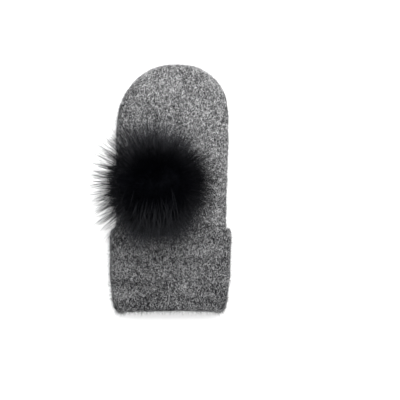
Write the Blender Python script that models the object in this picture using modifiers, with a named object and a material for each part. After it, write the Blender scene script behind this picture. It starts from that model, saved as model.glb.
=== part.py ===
"""A knitted and felted wool mitten with a turned-up cuff and a fur pompom on its back.

It lies unworn on its palm: +X runs across the hand, +Y from the wrist to the fingertips and +Z up
through the back of the hand. The origin is on the surface that it lies on, under the middle of the
cuff, while the functions below measure y from the cuff's bottom fold. It is a left-hand mitten, with
its thumb folded flat under the palm. All lengths are in metres.
"""

import math
from collections import namedtuple

import bmesh
import bpy
from mathutils import Vector

# The wool: one knitted and felted fabric throughout
WALL = 0.003
LAYER_GAP = 0.0008  # air between the two layers of the turned-up cuff
PIECE_GAP = 0.0003  # between pieces that touch
SETTLE = 0.0008  # how far the soft underside is pressed flat on what it lies on
TOP_ROUNDNESS = 2.5  # exponents of the flat ovals that it takes lying down
BOTTOM_ROUNDNESS = 4.0

# The cuff: the long wrist of the knitted tube, turned up once over itself
CUFF_WIDTH = 0.117
CUFF_HEIGHT = 0.080
CUFF_THICKNESS = 0.027
CUFF_SHIFT = -0.0015  # its middle, from the hand's middle line
CUFF_ARCH = 0.002  # how far the bottom fold bows up between its corners
CUFF_LAP = 0.008  # how far the free edge covers the start of the hand
CuffRow = namedtuple("CuffRow", "along left right")
CUFF_OUTLINE = [  # along the height from the fold; shares of half the width
    CuffRow(0.00, 0.885, 0.865),
    CuffRow(0.06, 0.940, 0.912),
    CuffRow(0.16, 0.972, 0.948),
    CuffRow(0.55, 1.000, 0.985),
    CuffRow(0.90, 1.000, 1.000),
    CuffRow(1.00, 0.985, 1.000),
]

# Soft dents and swellings of the upper side. Each lies at shares of half the width and of the length
# of its piece, with its own reach each way as such shares, and its depth as a share of the wall.
Dent = namedtuple("Dent", "across along wide long depth")
CUFF_DENTS = [
    Dent(-0.60, 0.46, 0.80, 0.13, 0.45),
    Dent(0.45, 0.40, 0.75, 0.12, 0.30),
    Dent(-0.30, 0.70, 0.70, 0.20, -0.25),
    Dent(0.15, 0.20, 0.90, 0.16, -0.20),
]
HAND_DENTS = [
    Dent(0.25, 0.84, 0.38, 0.10, 0.40),
    Dent(0.62, 0.64, 0.30, 0.15, 0.45),
    Dent(-0.55, 0.80, 0.42, 0.16, 0.35),
    Dent(0.72, 0.20, 0.24, 0.20, 0.40),
    Dent(-0.10, 0.93, 0.50, 0.08, 0.20),
]

# The hand
MITTEN_LENGTH = 0.2396  # from the cuff's fold to the fingertips
HAND_WIDTH = 0.1075
HAND_THICKNESS = 0.025
EDGE_LEVEL = 0.44  # how high its side edges run, as a share of its thickness
DOME_LENGTH = 0.058  # the rounded fingertip end
DOME_ROUNDNESS = 2.2  # exponent of its flat oval, seen from above
DOME_LEAN = 0.0045  # how far its tip leans towards the thumb's side
TIP_ROUNDING = 0.020  # the stretch in which the thickness runs out at the tip
CUFF_EXIT = 0.020  # the stretch in which the hand fills out beyond the cuff
HandRow = namedtuple("HandRow", "along left right thick")
HAND_OUTLINE = [  # along from the cuff's edge to the dome; shares of half the width, and of thickness
    HandRow(0.00, 0.985, 0.975, 0.93),
    HandRow(0.20, 0.985, 0.972, 0.97),
    HandRow(0.55, 0.998, 0.988, 1.00),
    HandRow(0.80, 1.005, 1.008, 1.03),
    HandRow(1.00, 0.992, 1.003, 1.00),
]

# The thumb, folded flat under the palm
THUMB_LENGTH = 0.112
THUMB_WIDTH = 0.048
THUMB_THICKNESS = 0.0135
THUMB_EDGE_GAP = 0.0045  # from the hand's side edge to its heel's
THUMB_LEAN = math.radians(3.0)  # its tip leans towards the palm's middle
THUMB_HEEL_GAP = 0.005  # from the cuff's free edge to its heel
HEEL_ROUNDING = 0.022
THUMB_TIP_ROUNDING = 0.025
HEEL_SHARE = 0.66  # thickness at the heel, as a share of the thickness
HEEL_RISE = 0.030  # the stretch in which the thickness fills out
THUMB_END_EDGE = 0.007  # the stretch in which the thickness runs out at both ends
MOUTH_WIDTH = 0.026  # the opening between the hand and the thumb
MOUTH_LENGTH = 0.038
MOUTH_FROM_HEEL = 0.033
PALM_RAMP = 0.028  # the stretch in which the palm comes down beside the thumb
BACK_RAMP = 0.060  # the stretch in which the back comes down, and how much of it lies beyond the thumb
BACK_RAMP_BESIDE = 0.042
BACK_RAMP_TIP = 0.030
BACK_SHARE = 0.55  # how much of the thumb's thickness shows on the back

# The pompom: a ball of long fur, gathered on a tie that is sewn through the back of the hand
POMPOM_X = -0.0145
POMPOM_FROM_CUFF = 0.0435
FUR_WIDTH = 0.101  # to the tips of the locks
FUR_LENGTH = 0.117
FUR_HEIGHT = 0.070  # above the back of the hand
FUR_MIDDLE_SHARE = 0.32  # the level of its middle, as a share of its height
LOCK_LENGTH = 0.016
LOCK_DROOP = 0.004
LOCK_SEAM = 0.01  # between the roots of two locks, as a share of the ball's radius
LOCK_WAIST_SHARE = 0.45  # where a lock starts to come to its point, as a share of its length
LOCK_ROOT_SHARE = 0.62  # how wide it is there, as a share of its root
WISP_SHARE = 0.45  # how much longer the locks are on the little finger's side
BARE_SLOPE = 0.55  # no lock grows where the ball faces down more steeply than this
BARE_FADE = 0.33  # the range of slope in which the locks reach their length
SEAT_REACH = 0.006  # the underside clears the wool this far around each point
TIE_RADIUS = 0.0025
TIE_HEAD_RADIUS = 0.006
TIE_HEAD_THICKNESS = 0.0016
TIE_DEPTH = 0.012  # how far it reaches into the pompom

# How finely the soft forms are faceted
ROUND_POINTS = 44
THUMB_POINTS = 28
TIE_POINTS = 12
CUFF_INNER_ROWS = [0, 0.12, 0.35, 0.6, 0.85]  # shares of the way down, and then up
CUFF_OUTER_ROWS = [0.1, 0.25, 0.42, 0.6, 0.8, 0.93, 1]
FOLD_ANGLES = [0, 40, 90, 140, 180]
HEEL_ROWS = [0, 0.25, 0.5, 0.8]
TUBE_SECTIONS = 9
THUMB_SECTIONS = 4
DOME_ANGLES = [12, 24, 35, 45, 55, 64, 72, 79, 85]
END_ANGLES = [8, 24, 42, 62]

# Worked out from the sizes above
LAYER_STEP = WALL + LAYER_GAP
HAND_LENGTH = MITTEN_LENGTH - CUFF_HEIGHT
JOIN_Y = CUFF_HEIGHT - CUFF_LAP
DOME_Y = MITTEN_LENGTH - DOME_LENGTH
THUMB_Y = CUFF_HEIGHT + THUMB_HEEL_GAP
THUMB_X = HAND_WIDTH / 2 - THUMB_EDGE_GAP - THUMB_WIDTH / 2
POMPOM_Y = CUFF_HEIGHT + POMPOM_FROM_CUFF

BASE_NAME = "mitten_base"
GREY_WOOL = (0.14, 0.14, 0.142, 1)
BLACK_FUR = (0.006, 0.006, 0.008, 1)
BLACK_CORD = (0.02, 0.02, 0.02, 1)


def ease(t):
    """Runs smoothly from 0 to 1."""
    t = min(max(t, 0.0), 1.0)
    return t * t * (3 - 2 * t)


def round_end(distance, length):
    """A quarter round: 0 at an end and 1 once the distance from it reaches the length."""
    t = min(max(distance / length, 0.0), 1.0)
    return math.sqrt(1 - (1 - t) ** 2)


def blend(low, high, t):
    return low + (high - low) * t


def row_value(rows, along, column):
    """A column of a table of sections, eased between its rows."""
    along = min(max(along, rows[0].along), rows[-1].along)
    for low, high in zip(rows, rows[1:]):
        if along <= high.along:
            t = ease((along - low.along) / (high.along - low.along))
            return blend(getattr(low, column), getattr(high, column), t)
    return getattr(rows[-1], column)


def signed_power(value, exponent):
    return math.copysign(abs(value) ** exponent, value)


def dent_depth(dents, across, along):
    """How far the dents lower the upper side at shares of half the width and of the length."""
    depth = 0.0
    for dent in dents:
        r = math.hypot((across - dent.across) / dent.wide, (along - dent.along) / dent.long)
        depth += dent.depth * WALL * (1 - min(r, 1.0) ** 2) ** 2
    return depth


def thumb_place(x, y):
    """(across, along) of a point in the thumb's own directions, from its heel."""
    dx, dy = x - THUMB_X, y - THUMB_Y
    across = dx * math.cos(THUMB_LEAN) + dy * math.sin(THUMB_LEAN)
    along = dy * math.cos(THUMB_LEAN) - dx * math.sin(THUMB_LEAN)
    return across, along


def thumb_point(across, along, z):
    x = THUMB_X + across * math.cos(THUMB_LEAN) - along * math.sin(THUMB_LEAN)
    y = THUMB_Y + along * math.cos(THUMB_LEAN) + across * math.sin(THUMB_LEAN)
    return Vector((x, y, z))


def thumb_fullness(along):
    """The thumb's thickness at a station, before its ends are rounded."""
    return THUMB_THICKNESS * blend(HEEL_SHARE, 1.0, ease(along / HEEL_RISE))


def palm_lift(x, y):
    """How far the thumb under the palm holds it up."""
    across, along = thumb_place(x, y)
    beside = ease((across + THUMB_WIDTH / 2 + PALM_RAMP) / PALM_RAMP)
    heel = ease((along + THUMB_HEEL_GAP) / THUMB_HEEL_GAP)
    tip = ease((THUMB_LENGTH + PALM_RAMP - along) / PALM_RAMP)
    return (thumb_fullness(along) + PIECE_GAP) * beside * heel * tip


def back_lift(x, y):
    """How far the thumb shows as a soft rise on the back of the hand."""
    across, along = thumb_place(x, y)
    beside = ease((across + THUMB_WIDTH / 2 + BACK_RAMP_BESIDE) / BACK_RAMP)
    heel = ease((along + THUMB_HEEL_GAP) / BACK_RAMP)
    tip = ease((THUMB_LENGTH + BACK_RAMP_TIP - along) / BACK_RAMP)
    return BACK_SHARE * THUMB_THICKNESS * beside * heel * tip


def hand_lift(x, y, floor, rise):
    """The lift of the hand's skin, from its palm (rise -1) to its back (rise 1)."""
    palm = palm_lift(x, y)
    return blend(max(palm - floor, 0.0), back_lift(x, y), (rise + 1) / 2)


def hand_section(y):
    """The hand's outside at a station: middle x, half widths, thickness, floor and tip share."""
    out = ease((y - CUFF_HEIGHT) / CUFF_EXIT)
    along = (y - CUFF_HEIGHT) / (DOME_Y - CUFF_HEIGHT)
    dome = max(y - DOME_Y, 0.0) / DOME_LENGTH
    narrowing = max(1 - dome**DOME_ROUNDNESS, 0.0) ** (1 / DOME_ROUNDNESS)
    halves = []
    for side in ("left", "right"):
        in_cuff = CUFF_WIDTH / 2 * row_value(CUFF_OUTLINE, y / CUFF_HEIGHT, side) - LAYER_STEP
        beyond = HAND_WIDTH / 2 * row_value(HAND_OUTLINE, along, side)
        halves.append(blend(in_cuff, beyond, out) * narrowing)
    beyond = HAND_THICKNESS * row_value(HAND_OUTLINE, along, "thick")
    thick = blend(CUFF_THICKNESS - 2 * LAYER_STEP, beyond, out)
    middle = blend(CUFF_SHIFT, 0.0, out) + DOME_LEAN * dome
    tip = round_end(MITTEN_LENGTH - y, TIP_ROUNDING)
    return middle, *halves, thick, LAYER_STEP * (1 - out), tip


def hand_ring(y):
    """The hand's outer outline at a station: a flat oval, settled below and raised over the thumb."""
    middle, left, right, thick, floor, tip = hand_section(y)
    level = floor + EDGE_LEVEL * thick
    points = []
    for i in range(ROUND_POINTS):
        angle = 2 * math.pi * i / ROUND_POINTS
        across, up = math.cos(angle), math.sin(angle)
        power = 2 / (TOP_ROUNDNESS if up > 0 else BOTTOM_ROUNDNESS)
        half = right if across > 0 else left
        reach = (1 - EDGE_LEVEL) * thick if up > 0 else EDGE_LEVEL * thick + SETTLE
        x = middle + half * signed_power(across, power)
        rise = signed_power(up, power)
        z = max(level + reach * tip * rise, floor) + hand_lift(x, y, floor, rise)
        dent = dent_depth(HAND_DENTS, x / (HAND_WIDTH / 2), (y - CUFF_HEIGHT) / HAND_LENGTH)
        points.append(Vector((x, y, z - max(rise, 0.0) * dent)))
    return points


def top_arch(share):
    """The height of a flat oval's upper side, as a share, at a share of its half width."""
    return max(1 - min(share, 1.0) ** TOP_ROUNDNESS, 0.0) ** (1 / TOP_ROUNDNESS)


def back_height(x, y):
    """The height of the wool's upper side: the back of the hand, or the cuff where that is higher."""
    middle, left, right, thick, floor, tip = hand_section(y)
    share = abs(x - middle) / (right if x > middle else left)
    arch = top_arch(share)
    hand = floor + thick * (EDGE_LEVEL + (1 - EDGE_LEVEL) * tip * arch) + hand_lift(x, y, floor, arch)
    if share >= 1:
        hand = 0.0
    if y > CUFF_HEIGHT + SEAT_REACH:
        return hand
    arch = top_arch(abs(x - CUFF_SHIFT) / (CUFF_WIDTH / 2))
    return max(hand, CUFF_THICKNESS * (EDGE_LEVEL + (1 - EDGE_LEVEL) * arch))


def cuff_ring(y, inset):
    """The middle of the cuff's fabric at a height, this far inside its outer face."""
    along = y / CUFF_HEIGHT
    points = []
    for i in range(ROUND_POINTS):
        angle = 2 * math.pi * i / ROUND_POINTS
        across, up = math.cos(angle), math.sin(angle)
        power = 2 / (TOP_ROUNDNESS if up > 0 else BOTTOM_ROUNDNESS)
        side = "right" if across > 0 else "left"
        half = CUFF_WIDTH / 2 * row_value(CUFF_OUTLINE, along, side) - inset
        level = EDGE_LEVEL * CUFF_THICKNESS
        reach = CUFF_THICKNESS - level if up > 0 else level + SETTLE
        x = CUFF_SHIFT + half * signed_power(across, power)
        rise = signed_power(up, power)
        z = max(level + (reach - inset) * rise, inset)
        z -= max(rise, 0.0) * dent_depth(CUFF_DENTS, (x - CUFF_SHIFT) / half, along)
        arch = CUFF_ARCH * (1 - ((x - CUFF_SHIFT) / half) ** 2) * (1 - along)
        points.append(Vector((x, y + arch, z)))
    return points


def cuff_rings():
    """The path of the fabric: down the inner layer, round the fold and up the outer layer."""
    fold = LAYER_STEP / 2
    centre = WALL / 2 + fold
    inner, outer = centre + fold, centre - fold
    top = JOIN_Y - PIECE_GAP
    path = [(blend(top, centre, t), inner) for t in CUFF_INNER_ROWS]
    for degrees in FOLD_ANGLES:
        turn = math.radians(degrees)
        path.append((centre - fold * math.sin(turn), centre + fold * math.cos(turn)))
    path += [(blend(centre, CUFF_HEIGHT, t), outer) for t in CUFF_OUTER_ROWS]
    return [cuff_ring(y, inset) for y, inset in path]


def thumb_ring(along):
    """The thumb's outer outline across its length."""
    ends = round_end(along, HEEL_ROUNDING) * round_end(THUMB_LENGTH - along, THUMB_TIP_ROUNDING)
    edges = round_end(along, THUMB_END_EDGE) * round_end(THUMB_LENGTH - along, THUMB_END_EDGE)
    half, thick = THUMB_WIDTH / 2 * ends, thumb_fullness(along)
    points = []
    for i in range(THUMB_POINTS):
        angle = 2 * math.pi * i / THUMB_POINTS
        across, up = math.cos(angle), math.sin(angle)
        power = 2 / (TOP_ROUNDNESS if up > 0 else BOTTOM_ROUNDNESS)
        reach = thick / 2 if up > 0 else thick / 2 + SETTLE
        z = max(thick / 2 + reach * edges * signed_power(up, power), 0.0)
        points.append(thumb_point(half * signed_power(across, power), along, z))
    return points


def thumb_stations():
    """Close together where the ends round off."""
    heel = [HEEL_ROUNDING * (1 - math.cos(math.radians(a))) for a in END_ANGLES]
    tip = [THUMB_LENGTH - THUMB_TIP_ROUNDING * (1 - math.cos(math.radians(a))) for a in END_ANGLES]
    first, last = HEEL_ROUNDING, THUMB_LENGTH - THUMB_TIP_ROUNDING
    straight = [blend(first, last, i / THUMB_SECTIONS) for i in range(THUMB_SECTIONS + 1)]
    return heel + straight + tip[::-1]


def material(name, colour, roughness):
    made = bpy.data.materials.new(name)
    made.use_nodes = True
    shader = made.node_tree.nodes["Principled BSDF"]
    shader.inputs["Base Color"].default_value = colour
    shader.inputs["Roughness"].default_value = roughness
    shader.inputs["Metallic"].default_value = 0.0
    return made


def place(bm, name, collection, surface):
    """Makes a bmesh an object with outward faces and smooth shading."""
    bmesh.ops.recalc_face_normals(bm, faces=bm.faces)
    mesh = bpy.data.meshes.new(name)
    bm.to_mesh(mesh)
    bm.free()
    made = bpy.data.objects.new(name, mesh)
    made.parent = collection.objects[BASE_NAME]
    collection.objects.link(made)
    if surface:
        mesh.materials.append(surface)
        mesh.shade_smooth()
    return made


def loft(bm, rings):
    """Skins rings of equally many points, and returns the rings of vertices."""
    loops = [[bm.verts.new(point) for point in ring] for ring in rings]
    for low, high in zip(loops, loops[1:]):
        for i in range(len(low)):
            bm.faces.new((low[i - 1], low[i], high[i], high[i - 1]))
    return loops


def close_with_tip(bm, loop, tip):
    point = bm.verts.new(tip)
    for i in range(len(loop)):
        bm.faces.new((loop[i - 1], loop[i], point))


def thicken(obj, offset):
    shell = obj.modifiers.new("fabric", "SOLIDIFY")
    shell.thickness = WALL
    shell.offset = offset
    shell.use_quality_normals = True


def cut(obj, cutter):
    hole = obj.modifiers.new("opening", "BOOLEAN")
    hole.operation = "DIFFERENCE"
    hole.object = cutter


def cutter_object(bm, name, collection):
    made = place(bm, name, collection, None)
    made.hide_render = True
    made.display_type = "WIRE"
    return made


def mouth_cutter(collection):
    """The oval opening between the hand and the thumb, through the palm and the thumb's upper wall."""
    low = THUMB_THICKNESS / 2
    high = THUMB_THICKNESS + PIECE_GAP + 2 * WALL
    bm = bmesh.new()
    bmesh.ops.create_cone(bm, cap_ends=True, segments=THUMB_POINTS, radius1=0.5, radius2=0.5, depth=1)
    for vert in bm.verts:
        across, along = vert.co.x * MOUTH_WIDTH, MOUTH_FROM_HEEL + vert.co.y * MOUTH_LENGTH
        vert.co = thumb_point(across, along, blend(low, high, vert.co.z + 0.5))
    return cutter_object(bm, "thumb_mouth_cutter", collection)


def tie_cutter(collection):
    """The stitch hole of the tie, through the back of the hand and up into the pompom."""
    low = back_height(POMPOM_X, POMPOM_Y) - 2 * WALL
    high = back_height(POMPOM_X, POMPOM_Y) + TIE_DEPTH + PIECE_GAP
    radius = TIE_RADIUS + PIECE_GAP
    bm = bmesh.new()
    bmesh.ops.create_cone(bm, cap_ends=True, segments=TIE_POINTS, radius1=1, radius2=1, depth=1)
    bmesh.ops.scale(bm, verts=bm.verts, vec=(radius, radius, high - low))
    bmesh.ops.translate(bm, verts=bm.verts, vec=(POMPOM_X, POMPOM_Y, (low + high) / 2))
    return cutter_object(bm, "tie_cutter", collection)


def make_hand(collection, wool, cutters):
    """The hand's shell, from inside the cuff to the fingertips."""
    bm = bmesh.new()
    stations = [blend(JOIN_Y, CUFF_HEIGHT, t) for t in (0, 0.5)]
    stations += [blend(CUFF_HEIGHT, THUMB_Y, t) for t in HEEL_ROWS]
    stations += [blend(THUMB_Y, DOME_Y, i / TUBE_SECTIONS) for i in range(TUBE_SECTIONS + 1)]
    stations += [DOME_Y + DOME_LENGTH * math.sin(math.radians(a)) for a in DOME_ANGLES]
    loops = loft(bm, [hand_ring(y) for y in stations])
    last = [vert.co for vert in loops[-1]]
    tip = sum(last, Vector()) / len(last)
    tip.y = MITTEN_LENGTH
    close_with_tip(bm, loops[-1], tip)
    hand = place(bm, "hand", collection, wool)
    thicken(hand, -1)
    for cutter in cutters:
        cut(hand, cutter)
    return hand


def make_cuff(collection, wool):
    """The turned-up cuff: one band of fabric, folded at the bottom."""
    bm = bmesh.new()
    loft(bm, cuff_rings())
    cuff = place(bm, "cuff", collection, wool)
    thicken(cuff, 0)
    return cuff


def make_thumb(collection, wool, mouth):
    """The thumb's pouch, open upwards into the hand."""
    bm = bmesh.new()
    loops = loft(bm, [thumb_ring(along) for along in thumb_stations()])
    for loop, along in ((loops[0], 0.0), (loops[-1], THUMB_LENGTH)):
        close_with_tip(bm, loop, thumb_point(0.0, along, thumb_fullness(along) / 2))
    thumb = place(bm, "thumb", collection, wool)
    thicken(thumb, -1)
    cut(thumb, mouth)
    return thumb


def ground_around(x, y, reach):
    """The heights of the wool at a point and around it."""
    spots = [(0.0, 0.0)]
    for i in range(8):
        angle = math.pi / 4 * i
        spots.append((reach * math.cos(angle), reach * math.sin(angle)))
    return [back_height(x + dx, y + dy) for dx, dy in spots]


def lock_share(normal):
    """The length of the lock that grows this way: none underneath, longer towards -X."""
    grown = ease((normal.z + BARE_SLOPE) / BARE_FADE)
    return grown * (1 + WISP_SHARE * ease(-normal.x) * (1 - abs(normal.z)))


def grow_lock(bm, face, core):
    """Draws a facet of the unit ball out into a lock: inset, raised, and poked to a drooping point."""
    centre = face.calc_center_median()
    normal = centre.normalized()
    share = lock_share(normal)
    bmesh.ops.inset_individual(bm, faces=[face], thickness=LOCK_SEAM)
    outward = Vector((normal.x / core.x, normal.y / core.y, normal.z / core.z)) * LOCK_LENGTH * share
    for vert in face.verts:
        vert.co = centre + (vert.co - centre) * LOCK_ROOT_SHARE + outward * LOCK_WAIST_SHARE
    tip = bmesh.ops.poke(bm, faces=[face])["verts"][0]
    droop = Vector((0, 0, LOCK_DROOP * share * (1 - abs(normal.z)) / core.z))
    tip.co = normal + outward - droop


def make_pompom(collection, fur, hole):
    """A ball with a lock of fur on each of its facets, pressed flat where it sits on the wool."""
    ground = back_height(POMPOM_X, POMPOM_Y)
    middle = Vector((POMPOM_X, POMPOM_Y, ground + FUR_MIDDLE_SHARE * FUR_HEIGHT))
    core = Vector((FUR_WIDTH / 2, FUR_LENGTH / 2, (1 - FUR_MIDDLE_SHARE) * FUR_HEIGHT))
    core -= Vector((LOCK_LENGTH, LOCK_LENGTH, LOCK_LENGTH))
    bm = bmesh.new()
    bmesh.ops.create_icosphere(bm, subdivisions=3, radius=1)
    for face in list(bm.faces):
        grow_lock(bm, face, core)
    for vert in bm.verts:
        vert.co = middle + vert.co * core
        vert.co.z = max(vert.co.z, max(ground_around(vert.co.x, vert.co.y, SEAT_REACH)) + PIECE_GAP)
    pompom = place(bm, "pompom", collection, fur)
    cut(pompom, hole)
    return pompom


def make_tie(collection, cord):
    """The sewn tie that holds the pompom: a shank with a flat head inside the hand, turned about +Z."""
    shank_top = back_height(POMPOM_X, POMPOM_Y) + TIE_DEPTH
    heights = ground_around(POMPOM_X, POMPOM_Y, TIE_HEAD_RADIUS)
    slope = (max(heights) - min(heights)) / TIE_HEAD_RADIUS
    head_top = min(heights) - WALL * math.hypot(1, slope) - PIECE_GAP
    head_bottom = head_top - TIE_HEAD_THICKNESS
    profile = [
        (0, shank_top),
        (TIE_RADIUS, shank_top),
        (TIE_RADIUS, head_top),
        (TIE_HEAD_RADIUS, head_top),
        (TIE_HEAD_RADIUS, head_bottom),
        (0, head_bottom),
    ]
    bm = bmesh.new()
    verts = [bm.verts.new((radius, 0, z)) for radius, z in profile]
    for low, high in zip(verts, verts[1:]):
        bm.edges.new((low, high))
    mesh = bpy.data.meshes.new("pompom_tie")
    bm.to_mesh(mesh)
    bm.free()
    mesh.materials.append(cord)
    tie = bpy.data.objects.new("pompom_tie", mesh)
    tie.parent = collection.objects[BASE_NAME]
    tie.location = (POMPOM_X, POMPOM_Y, 0)
    collection.objects.link(tie)
    turn = tie.modifiers.new("turned", "SCREW")
    turn.steps = turn.render_steps = TIE_POINTS
    turn.use_merge_vertices = True
    turn.merge_threshold = 0.0001
    return tie


def main():
    for old in list(bpy.data.objects):
        bpy.data.objects.remove(old)
    parts = bpy.data.collections.new("wool_mitten")
    cutters = bpy.data.collections.new("cutters")
    base = bpy.data.objects.new(BASE_NAME, None)
    base.location.y = -CUFF_HEIGHT / 2
    for collection in (parts, cutters):
        bpy.context.scene.collection.children.link(collection)
        collection.objects.link(base)
    wool = material("grey_wool", GREY_WOOL, 0.95)
    fur = material("black_fur", BLACK_FUR, 0.7)
    cord = material("black_cord", BLACK_CORD, 0.8)
    mouth = mouth_cutter(cutters)
    hole = tie_cutter(cutters)
    make_hand(parts, wool, [mouth, hole])
    make_cuff(parts, wool)
    make_thumb(parts, wool, mouth)
    make_pompom(parts, fur, hole)
    make_tie(parts, cord)


main()
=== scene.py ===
"""A heather grey mitten of felted wool with a turned-up cuff and a black fur pompom, lying on its palm.

+X runs across the hand towards the thumb's side, +Y to the fingertips and +Z up through the back of
the hand. All lengths are in metres.
"""

import math
from collections import namedtuple

import bpy
import numpy as np
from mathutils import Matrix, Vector, noise


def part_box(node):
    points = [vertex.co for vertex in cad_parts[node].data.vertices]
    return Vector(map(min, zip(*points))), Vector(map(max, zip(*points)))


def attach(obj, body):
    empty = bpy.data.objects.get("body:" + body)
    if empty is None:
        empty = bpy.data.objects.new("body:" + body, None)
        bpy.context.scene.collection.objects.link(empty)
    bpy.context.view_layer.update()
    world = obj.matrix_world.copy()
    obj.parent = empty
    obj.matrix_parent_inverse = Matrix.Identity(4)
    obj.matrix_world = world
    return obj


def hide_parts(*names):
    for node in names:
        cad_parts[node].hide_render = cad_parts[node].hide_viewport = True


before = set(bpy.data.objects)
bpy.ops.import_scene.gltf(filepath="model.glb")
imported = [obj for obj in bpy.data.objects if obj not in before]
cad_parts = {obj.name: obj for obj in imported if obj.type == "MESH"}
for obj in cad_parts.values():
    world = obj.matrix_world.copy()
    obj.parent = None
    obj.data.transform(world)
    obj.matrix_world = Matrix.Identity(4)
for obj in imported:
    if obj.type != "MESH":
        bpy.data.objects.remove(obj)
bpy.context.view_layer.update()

# The hand: a seamless knitted tube with a round closed end, fulled in hot water until the stitches
# close up into a thick heather felt. Unworn, it flattens on its palm and rises softly over the thumb
# that is folded under it.

WALL = 0.003
LAYER_GAP = 0.0008
LAYER_STEP = WALL + LAYER_GAP
SETTLE = 0.0008
TOP_ROUNDNESS, BOTTOM_ROUNDNESS = 2.5, 4.0
CUFF_HEIGHT = 0.080
FOLD_Y = -CUFF_HEIGHT / 2  # the cuff's bottom fold, from which y is measured in the shapes below
CUFF_WIDTH, CUFF_THICKNESS, CUFF_SHIFT = 0.117, 0.027, -0.0015
HAND_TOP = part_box("hand")[1][1] - FOLD_Y
HAND_WIDTH, HAND_THICKNESS, EDGE_LEVEL = 0.1075, 0.025, 0.44
DOME_LENGTH, DOME_ROUNDNESS, DOME_LEAN, TIP_ROUNDING = 0.058, 2.2, 0.0045, 0.020
CUFF_EXIT, HAND_START = 0.020, 0.072
THUMB_LENGTH, THUMB_WIDTH, THUMB_THICKNESS, THUMB_LEAN = 0.112, 0.048, 0.0135, math.radians(3)
HEEL, HEEL_GAP, THUMB_GAP = (0.02525, 0.085), 0.005, 0.0003
HEEL_SHARE, HEEL_RISE = 0.66, 0.030
PALM_RAMP, BACK_RAMP, BACK_RAMP_BESIDE, BACK_RAMP_TIP, BACK_SHARE = 0.028, 0.060, 0.042, 0.030, 0.55

Row = namedtuple("Row", "along left right thick")
CUFF_OUTLINE = [
    Row(0.00, 0.885, 0.865, 1),
    Row(0.06, 0.940, 0.912, 1),
    Row(0.16, 0.972, 0.948, 1),
    Row(0.55, 1.000, 0.985, 1),
    Row(0.90, 1.000, 1.000, 1),
    Row(0.95, 0.998, 1.000, 1),
    Row(1.00, 0.978, 0.980, 1),
]
HAND_OUTLINE = [
    Row(0.00, 0.985, 0.975, 0.93),
    Row(0.20, 0.985, 0.972, 0.97),
    Row(0.55, 0.998, 0.988, 1.00),
    Row(0.80, 1.005, 1.008, 1.03),
    Row(1.00, 0.992, 1.003, 1.00),
]
Dent = namedtuple("Dent", "across along wide long depth")
HAND_DENTS = [
    Dent(0.25, 0.84, 0.38, 0.10, 0.40),
    Dent(0.62, 0.64, 0.30, 0.15, 0.45),
    Dent(-0.55, 0.80, 0.42, 0.16, 0.35),
    Dent(0.72, 0.20, 0.24, 0.20, 0.40),
    Dent(-0.10, 0.93, 0.50, 0.08, 0.20),
]
HAND_AROUND, HAND_ALONG, LINING_ALONG = 240, 190, 50
LAST_RING = math.radians(88)  # how far round the dome's quarter turn the last ring lies
Swell = namedtuple("Swell", "height per_metre")
FELT_SWELLS = [Swell(0.0006, 90), Swell(0.00022, 420), Swell(0.000132, 900)]  # the last two: its crumb
HAND_FIBRES = 36000


def ease(t):
    t = np.clip(t, 0, 1)
    return t * t * (3 - 2 * t)


def round_end(distance, length):
    t = np.clip(distance / length, 0, 1)
    return np.sqrt(1 - (1 - t) ** 2)


def blend(low, high, t):
    return low + (high - low) * t


def row_value(rows, along, column):
    stations = np.array([row.along for row in rows])
    values = np.array([getattr(row, column) for row in rows])
    i = np.clip(np.searchsorted(stations, along, side="right") - 1, 0, len(rows) - 2)
    t = ease((along - stations[i]) / (stations[i + 1] - stations[i]))
    return blend(values[i], values[i + 1], t)


def signed_power(value, exponent):
    return np.copysign(np.abs(value) ** exponent, value)


def dent_depth(dents, across, along):
    depth = 0
    for dent in dents:
        r = np.hypot((across - dent.across) / dent.wide, (along - dent.along) / dent.long)
        depth = depth + dent.depth * WALL * (1 - np.minimum(r, 1) ** 2) ** 2
    return depth


def thumb_place(x, y):
    """(across, along) in the thumb's own directions, from the middle of its heel."""
    dx, dy = x - HEEL[0], y - HEEL[1]
    across = dx * math.cos(THUMB_LEAN) + dy * math.sin(THUMB_LEAN)
    along = dy * math.cos(THUMB_LEAN) - dx * math.sin(THUMB_LEAN)
    return across, along


def thumb_fullness(along):
    return THUMB_THICKNESS * blend(HEEL_SHARE, 1.0, ease(along / HEEL_RISE))


def hand_lift(x, y, floor, rise):
    """How far the folded thumb raises the hand, from its palm (rise -1) to its back (rise 1)."""
    across, along = thumb_place(x, y)
    edge = across + THUMB_WIDTH / 2
    palm = thumb_fullness(along) + THUMB_GAP
    palm = palm * ease((edge + PALM_RAMP) / PALM_RAMP) * ease((along + HEEL_GAP) / HEEL_GAP)
    palm = palm * ease((THUMB_LENGTH + PALM_RAMP - along) / PALM_RAMP)
    back = BACK_SHARE * THUMB_THICKNESS * ease((edge + BACK_RAMP_BESIDE) / BACK_RAMP)
    back = back * ease((along + HEEL_GAP) / BACK_RAMP)
    back = back * ease((THUMB_LENGTH + BACK_RAMP_TIP - along) / BACK_RAMP)
    return blend(np.maximum(palm - floor, 0), back, (rise + 1) / 2)


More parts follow.
